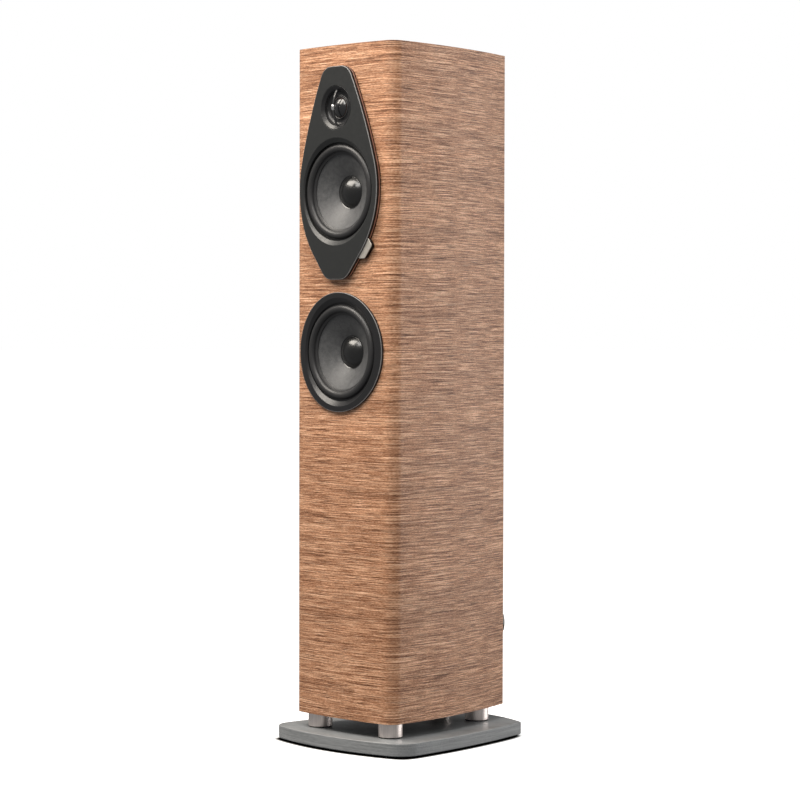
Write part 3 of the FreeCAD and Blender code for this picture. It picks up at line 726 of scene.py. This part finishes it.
# ---- driver panel ----------------------------------------------------------------------------------
PANEL_PROUD = 9.6
PANEL_TOP, PANEL_BOTTOM = 953.5, 642.5
PANEL_TOP_HALF, PANEL_BOTTOM_HALF = 25.8, 21.2
PANEL_SHOULDER, PANEL_WIDEST, PANEL_HIP = (77.6, 815.0), (83.0, MID_Z), (53.5, 684.0)
PANEL_CORNER = 24             # radius of its top and bottom corners
TAB_PROUD = PANEL_PROUD - 2.4
LAYER_PROUD = 4.9             # the thin metal layer under the panel
SHADOW_GAP_PROUD, SHADOW_GAP_INSET = 2.9, 0.9  # painted shadow gap: a black band between that layer and the veneer
BEVEL_SLOPE = 1.3             # a bevel's width over its depth
LAND_DEPTH = 1.3              # a bevel ends on a land this far in front of the surround's lip
SOFT_ROWS = 4                 # rows of a slab's edge that round its face off


def panel_outline():
    """Drop shape, counterclockwise in (x, z) from the bottom."""
    low_corner, top_corner = (PANEL_BOTTOM_HALF, PANEL_BOTTOM), (PANEL_TOP_HALF, PANEL_TOP)
    right = [line(low_corner, PANEL_HIP), arc(PANEL_HIP, PANEL_WIDEST, PANEL_SHOULDER),
             arc(PANEL_SHOULDER, (64.0, 860.0), top_corner)]
    edges = [line(mirrored([low_corner])[0], low_corner), *right,
             line(top_corner, mirrored([top_corner])[0]), *[mirrored(edge) for edge in reversed(right)]]
    ends = (PANEL_CORNER, 0, 0, PANEL_CORNER)
    return closed_outline(edges, ends + ends, spacing=2.5)


def bevel_section(proud, bevel_y, land_y, angle, soft=0.7):
    """(radius, y) points from a bowed face over a softened rim and down a bevel to the hidden land.

    The bevel's top radius and the face's depth there depend on each other, so they are found in turns.
    """
    radius = DRIVER_OPENING
    for _ in range(12):
        radius = DRIVER_OPENING + BEVEL_SLOPE * (bevel_y - bowed(proud, radius * math.cos(angle)))
    face = Vector((radius + soft, bowed(proud, (radius + soft) * math.cos(angle))))
    corner = Vector((radius, bowed(proud, radius * math.cos(angle))))
    below = corner + Vector((-BEVEL_SLOPE, 1)).normalized() * soft
    points = []
    for t in (0, 0.2, 0.4, 0.6, 0.8, 1):
        points.append(tuple(face * (1 - t) ** 2 + corner * 2 * t * (1 - t) + below * t * t))
    return points + [(DRIVER_OPENING + 0.35, bevel_y - 0.35), (DRIVER_OPENING + 0.08, bevel_y),
                     (DRIVER_OPENING, bevel_y + 0.3), (DRIVER_OPENING, land_y), (FLANGE_SEAT, land_y),
                     (FLANGE_SEAT, bowed(0, FLANGE_SEAT * math.cos(angle)))]


def tweeter_hole_section(angle):
    """(radius, y) points down the tweeter's hole, from the face to the veneer."""
    radius, soft, seat_y = 32.15, 0.5, -2.2
    beyond = radius + 4
    wall = rounded([(beyond, bowed(PANEL_PROUD, beyond * math.cos(angle))),
                    (radius, bowed(PANEL_PROUD, radius * math.cos(angle)), soft), (radius, seat_y)])
    return wall[1:] + [(TWEETER_SEAT, seat_y), (TWEETER_SEAT, bowed(0, TWEETER_SEAT * math.cos(angle)))]


def polar_loops(bm, height, section):
    """Loops of vertices about a driver's centre, one for each point of the section."""
    columns = []
    for k in range(ROUND_STEPS):
        angle = math.tau * k / ROUND_STEPS
        columns.append([bm.verts.new(at(radius * math.cos(angle), y, height + radius * math.sin(angle)))
                        for radius, y in section(angle)])
    return [list(loop) for loop in zip(*columns)]


def flat_outline(loop):
    """(x, z) in millimetres of a loop of vertices."""
    return np.array([((v.co.x - DESIGN_ORIGIN.x) / MM, (v.co.z - DESIGN_ORIGIN.z) / MM) for v in loop])


def slab_loops(bm, outline, rows):
    """Loops down the edge of a slab on the bowed front, for (inset, proud) rows."""
    normals = left_normals(outline, closed=True)
    return [[bm.verts.new(at(x, bowed(proud, x), z)) for x, z in outline + normals * inset]
            for inset, proud in rows]


def slab(name, outline, rows, looks, spacing, holes=()):
    """A slab with a face parallel to the bowed front, whose edge follows (inset, proud) rows.

    looks end with the finishes of the first rows, which round the face off, and of the edge below
    them. A hole is (height of its centre, section).
    """
    bm = bmesh.new()
    wall = slab_loops(bm, outline, rows)
    bores = [polar_loops(bm, height, section) for height, section in holes]
    loft(bm, wall[:SOFT_ROWS], material=len(looks) - 2)
    loft(bm, wall[SOFT_ROWS - 1:], material=len(looks) - 1)
    for bore in bores:
        loft(bm, bore)
    for end in (0, -1):
        rims = [(flat_outline(loops[end]), loops[end]) for loops in (wall, *bores)]
        fill(bm, rims, lambda x, z, proud=rows[end][1]: at(x, bowed(proud, x), z), spacing)
    return piece(name, bm, looks)


def soft_rim(inset, proud, soft):
    """The first rows of a slab: a small rounding at the edge of its face, ready to turn down."""
    return [(inset + soft * (1 - math.sin(a)), proud - soft * (1 - math.cos(a)))
            for a in (0, math.pi / 6, math.pi / 3, math.pi / 2)]


def add_panel():
    """Black panel on a thin metal layer whose edge shows all round, and under that a black band, a painted
    shadow gap.
    """
    outline = panel_outline()
    wall_inset, soft, bevel_depth = 0.3, 0.9, 4.5

    def mid_hole_section(angle):
        return bevel_section(PANEL_PROUD, MID_LIP - bevel_depth, MID_LIP - LAND_DEPTH, angle)

    holes = ((MID_Z, mid_hole_section), (TWEETER_Z, tweeter_hole_section))
    rows = [*soft_rim(wall_inset, PANEL_PROUD, soft), (wall_inset, LAYER_PROUD),
            (SHADOW_GAP_INSET, LAYER_PROUD), (SHADOW_GAP_INSET, 0)]
    # the rounded rim has a grey painted highlight; below it is the black edge, whose foot is a painted shadow
    # gap
    looks = [LOOK[name] for name in ("panel_coat", "painted_rim_highlight", "black_edge_and_gap_shadow")]
    panel = slab("driver_panel_satin", outline, rows, looks, 5.0, holes)
    stands_for(panel, "cabinet", "panel_coat", "driver_panel")

    layer_top, hidden_inset = LAYER_PROUD + 0.05, SHADOW_GAP_INSET + 0.4
    rows = [(0.1, layer_top), (0, LAYER_PROUD - 0.1), (0, SHADOW_GAP_PROUD), (hidden_inset, SHADOW_GAP_PROUD),
            (hidden_inset, layer_top)]
    bm = bmesh.new()
    loft(bm, slab_loops(bm, outline, rows), closed=True)
    # the layer's edge has the tab's metal darkened and tinted pink: painted shade and a painted reflection of
    # the veneer
    layer = piece("driver_panel_metal_layer", bm, [LOOK["layer_metal_painted_shade"]])
    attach(layer, "cabinet")


def add_tab():
    """Plain metal tab that reaches out from under the panel's lower right edge."""
    corners = [(43.0, 672.6), (57.4, 672.6), (71.8, 691.5), (63.5, 702.5), (55.0, 704.5)]
    seen_radius, hidden_radius, soft = 4, 3.3, 0.45
    edges = [line(a, b) for a, b in zip(corners, corners[1:] + corners[:1])]
    outline = closed_outline(edges, (seen_radius,) * 3 + (hidden_radius,) * 2, spacing=0.8)
    # the tab's black edge and the black band under it are a painted shadow round the tab
    rows = [*soft_rim(0, TAB_PROUD, soft), (0, SHADOW_GAP_PROUD), (SHADOW_GAP_INSET, SHADOW_GAP_PROUD),
            (SHADOW_GAP_INSET, 0)]
    tab = slab("panel_tab_metal", outline, rows, [LOOK["tab_metal"], LOOK["black_edge_and_gap_shadow"]], 2.5)
    stands_for(tab, "cabinet", "tab_metal", "panel_tab")


def add_trim_ring():
    """Black ring round the woofer, flat and then bevelled towards the cone."""
    outer, proud, soft, bevel_depth = 87.5, 4.2, 0.8, 1.9
    rim_rows = 5

    def section(angle):
        face_y = bowed(proud, outer * math.cos(angle))
        back_y = bowed(0, outer * math.cos(angle))
        rim = [(outer - soft * (1 - math.sin(a)), face_y + soft * (1 - math.cos(a)))
               for a in (math.pi / 2, 1.2, 0.8, 0.4, 0)]
        bevel = bevel_section(proud, WOOFER_LIP - bevel_depth, WOOFER_LIP - LAND_DEPTH, angle)
        return [(outer, back_y), *rim, *bevel]

    bm = bmesh.new()
    loops = polar_loops(bm, WOOFER_Z, section)
    # the rounded outer rim has a grey painted highlight
    loft(bm, loops[1:1 + rim_rows], material=1)
    loft(bm, loops[rim_rows:] + loops[:2])
    ring = piece("woofer_trim_ring_bevelled", bm, [LOOK["trim_black"], LOOK["painted_rim_highlight"]])
    stands_for(ring, "cabinet", "trim_black", "woofer_trim_ring")


add_panel()
add_tab()
add_trim_ring()


# ---- cone drivers ----------------------------------------------------------------------------------
CAP_RADIUS = 23.0
COIL_FORMER = 16.1            # radius at which the cone and the spider meet the voice coil
SPIDER_DEPTH = 43.8


def flexes(obj):
    """Bake a ring's placement into its mesh."""
    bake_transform(obj)


def flexing_ring(name, profile, middle, slot, node):
    """A turned ring that stands for a node, with its placement baked into its mesh."""
    ring = turned(name, profile, [middle], LOOK[slot])
    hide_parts(node)
    flexes(ring)


def surround_profile():
    """Half roll with a flat lip outside and a lip on the cone inside."""
    roll_front = arc((69.2, 0), (63.6, -5.2), (58.0, 0.6), 20)
    cone_lip = [(56.4, 1.25), (54.9, 1.95), (54.5, 2.3), (54.5, 3.0), (54.9, 3.2), (56.6, 2.6)]
    roll_back = arc((58.4, 1.9), (63.6, -4.1), (68.8, 1.1), 20)
    flat_lip = [(70.6, 1.1), (72.5, 1.1), (72.5, 0.0), (70.6, 0.0)]
    return roll_front + cone_lip + roll_back + flat_lip


def cone_profile():
    """Cone with faint pressed rings on its front face, and a plain back."""
    ring_pitch, ring_depth = 3.0, 0.02
    rim = 58.0
    front = []
    for radius, depth in arc((rim, 2.6), (40.0, 11.6), (CAP_RADIUS, 22.0), 110):
        fade = min(1.0, (rim - radius) / 4, (radius - CAP_RADIUS) / 3)
        front.append((radius, depth + ring_depth * fade * math.cos(math.tau * radius / ring_pitch)))
    back = arc((CAP_RADIUS, 23.2), (40.0, 12.8), (rim, 3.6), 40)
    return front + [(COIL_FORMER, 26.5), (COIL_FORMER, 28.2)] + back


def cap_profile():
    """Domed cap with a narrow flange that lies on the cone."""
    height, wall, foot = 11.0, 0.8, 21.9
    ball = (CAP_RADIUS ** 2 + height ** 2) / (2 * height)
    centre = foot - height + ball

    def dome(radius, reach, steps):
        """Points of a shell from its pole out to where it is as wide as reach."""
        spread = math.asin(reach / radius)
        return [(radius * math.sin(spread * k / steps), centre - radius * math.cos(spread * k / steps))
                for k in range(steps + 1)]

    flange = [(-0.3, 21.45), (0, 21.5), (0.4, 21.35), (1.4, 20.7), (1.6, 20.75), (1.6, 21.2),
              (0.3, 22.1), (-0.8, 22.1)]
    flange = [(CAP_RADIUS + past, depth) for past, depth in flange]
    return dome(ball, CAP_RADIUS - 0.9, 40) + flange + dome(ball - wall, CAP_RADIUS - 1.4, 20)[::-1]


def spider_profile():
    """Corrugated cloth disc."""
    inner, outer, waves, wave_height, cloth, steps = 20.0, 38.0, 4, 1.5, 0.6, 64
    front = [(inner + (outer - inner) * k / steps,
              SPIDER_DEPTH - wave_height * math.sin(math.pi * waves * k / steps)) for k in range(steps + 1)]
    front = [(COIL_FORMER, SPIDER_DEPTH), (18.0, SPIDER_DEPTH), *front, (40.5, SPIDER_DEPTH),
             (43.0, SPIDER_DEPTH)]
    return front + [(radius, depth + cloth) for radius, depth in reversed(front)]


def add_cone_driver(name, height, lip):
    """The cone and the dust cap ride on the diaphragm."""
    middle = at(0, lip, height)
    body = name + "_diaphragm"
    cone = turned(name + "_cone_pressed", cone_profile(), [middle], LOOK["cone_pulp"])
    stands_for(cone, body, "cone_pulp", name + "_cone")
    cap = turned(name + "_dust_cap_domed", cap_profile(), [middle], LOOK["gloss_black"], SMALL_ROUND_STEPS)
    stands_for(cap, body, "gloss_black", name + "_dust_cap")
    flexing_ring(name + "_surround_roll", surround_profile(), middle, "surround_rubber",
                 name + "_surround")
    flexing_ring(name + "_spider_cloth", spider_profile(), middle, "spider_cloth",
                 name + "_spider")


add_cone_driver("mid", MID_Z, MID_LIP)
add_cone_driver("woofer", WOOFER_Z, WOOFER_LIP)


# ---- tweeter ---------------------------------------------------------------------------------------
def add_tweeter():
    """Waveguide, dome, and the roll that the dome hangs in."""
    middle = at(0, 0, TWEETER_Z)
    throat = [(32.0, -2.0), (32.0, -9.1, 0.3), (31.2, -9.1, 0.3), (25.6, -5.4, 0.8)]
    throat = rounded(throat) + arc((25.3, -4.6), (23.9, -1.5), (17.8, -0.4), 24)
    throat += [(17.8, 0.5), (33.6, 0.5), (33.6, 3.0), (38.0, 3.0), (38.0, -2.0)]
    guide = turned("tweeter_waveguide_throat", throat, [middle], LOOK["trim_black"])
    stands_for(guide, "cabinet", "trim_black", "tweeter_waveguide")

    radius, height, wall, foot = 14.0, 5.6, 0.4, -1.2
    ball = (radius ** 2 + height ** 2) / (2 * height)
    centre = foot - height + ball
    skin = []
    steps = 32
    for shell, order in ((ball, range(steps + 1)), (ball - wall, range(steps, -1, -1))):
        spread = math.acos((centre - foot) / shell)
        skin += [(shell * math.sin(spread * k / steps), centre - shell * math.cos(spread * k / steps))
                 for k in order]
    dome = turned("tweeter_dome_film", skin, [middle], LOOK["dome_film"], SMALL_ROUND_STEPS)
    stands_for(dome, "tweeter_diaphragm", "dome_film", "tweeter_dome")

    roll = (arc((16.8, 0.5), (15.6, -1.0), (14.3, 0.0), 12) + arc((14.3, 0.3), (15.6, -0.6), (16.5, 0.9), 12)
            + [(22.0, 0.9), (22.0, 0.5)])
    flexing_ring("tweeter_surround_roll", roll, middle, "surround_rubber", "tweeter_surround")


def add_bridge():
    """Thin bowed bar across the throat, with an egg-shaped bright nub at its middle."""
    reach, half_width, soft = 25.5, 1.5, 0.5
    end_y, middle_y, thickness = -7.6, -14.8, 2.4
    front = arc((-reach, end_y), (0, middle_y), (reach, end_y), 40)
    back = arc((-reach, end_y + thickness), (0, middle_y + thickness), (reach, end_y + thickness), 40)
    bm = bmesh.new()
    loops = []
    for (up, front_y), (_, back_y) in zip(front, back):
        section = rounded([(half_width, front_y, soft), (-half_width, front_y, soft),
                           (-half_width, back_y, soft), (half_width, back_y, soft)], steps=4)
        loops.append([bm.verts.new(at(x, y, TWEETER_Z + up)) for x, y in section])
    loft(bm, loops)
    bm.faces.new(loops[0])
    bm.faces.new(loops[-1])
    bar = piece("tweeter_bridge_bar", bm, [LOOK["bridge_metal"]])
    stands_for(bar, "cabinet", "bridge_metal", "tweeter_bridge")

    half_across, half_deep, half_high, nub_y, taper = 3.0, 3.2, 4.9, -13.9, 0.1
    bm = bmesh.new()
    bmesh.ops.create_uvsphere(bm, u_segments=48, v_segments=32, radius=1.0)
    for vertex in bm.verts:
        x, y, z = vertex.co
        narrow = 1 - taper * z
        vertex.co = at(half_across * x * narrow, nub_y + half_deep * y, TWEETER_Z + half_high * z)
    nub = piece("tweeter_bridge_nub", bm, [LOOK["nub_silver"]])
    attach(nub, "cabinet")


add_tweeter()
add_bridge()


# ---- base ------------------------------------------------------------------------------------------
def add_plate():
    """Flat plate with a rounded edge above and below."""
    outline = plate_outline()
    normals = left_normals(outline, closed=True)
    soft, rim_steps, scatter = 1.3, 5, 16.0
    rows = []
    for step in range(rim_steps + 1):
        angle = math.pi / 2 * step / rim_steps
        rows.append((soft * (1 - math.sin(angle)), PLATE_TOP - soft * (1 - math.cos(angle))))
    rows += [(inset, PLATE_TOP + PLATE_BOTTOM - z) for inset, z in reversed(rows)]
    bm = bmesh.new()
    loops = [[bm.verts.new(at(x, y, z)) for x, y in outline + normals * inset] for inset, z in rows]
    loft(bm, loops)
    for loop, z in ((loops[0], PLATE_TOP), (loops[-1], PLATE_BOTTOM)):
        flat = np.array([((v.co - DESIGN_ORIGIN) / MM)[:2] for v in loop])
        fill(bm, [(flat, loop)], lambda x, y, z=z: at(x, y, z), scatter)
    plate = piece("base_plate_lacquered", bm, [LOOK["plate_lacquer"]])
    stands_for(plate, "cabinet", "plate_lacquer", "base_plate")


def add_supports():
    """Metal spacers on black rings, and rubber feet under the plate."""
    spacer_foot, foot_height = -21.2, 3.4
    spacers = [at(x, y, 0) for x, y in ((-75.4, 31.4), (75.4, 31.4), (-40.3, 247.0), (40.3, 247.0))]
    feet = [at(x, y, 0) for x, y in ((-105.0, 22.0), (105.0, 22.0), (-78.0, 262.0), (78.0, 262.0))]
    kinds = (("spacers", "nickel", spacers, 18.0, spacer_foot, 0.0, 0.6),
             ("spacer_rings", "foot_rubber", spacers, 17.2, PLATE_TOP, spacer_foot, 0.3),
             ("rubber_feet", "foot_rubber", feet, 16.0, PLATE_BOTTOM - foot_height, PLATE_BOTTOM, 0.8))
    for node, slot, places, radius, low, high, soft in kinds:
        profile = rounded([(0, low), (radius, low, soft), (radius, high, soft), (0, high)])
        obj = turned(node + "_turned", profile, places, LOOK[slot], axis="Z")
        stands_for(obj, "cabinet", slot, node)


add_plate()
add_supports()


# ---- terminals -------------------------------------------------------------------------------------
def add_dish():
    """Round dish with a rolled lip, sunk in the rear."""
    profile = rounded([(0, 276.0), (29.0, 276.0), (29.0, 293.0), (34.0, 293.0), (34.0, 317.8, 5.0),
                       (28.0, 317.8, 0.9), (26.6, 303.0, 1.2), (0, 303.0)], steps=8)
    dish = turned("terminal_dish_rolled", profile, [at(0, 0, TERMINAL_Z)], LOOK["gloss_black"])
    stands_for(dish, "cabinet", "gloss_black", "terminal_dish")


add_dish()
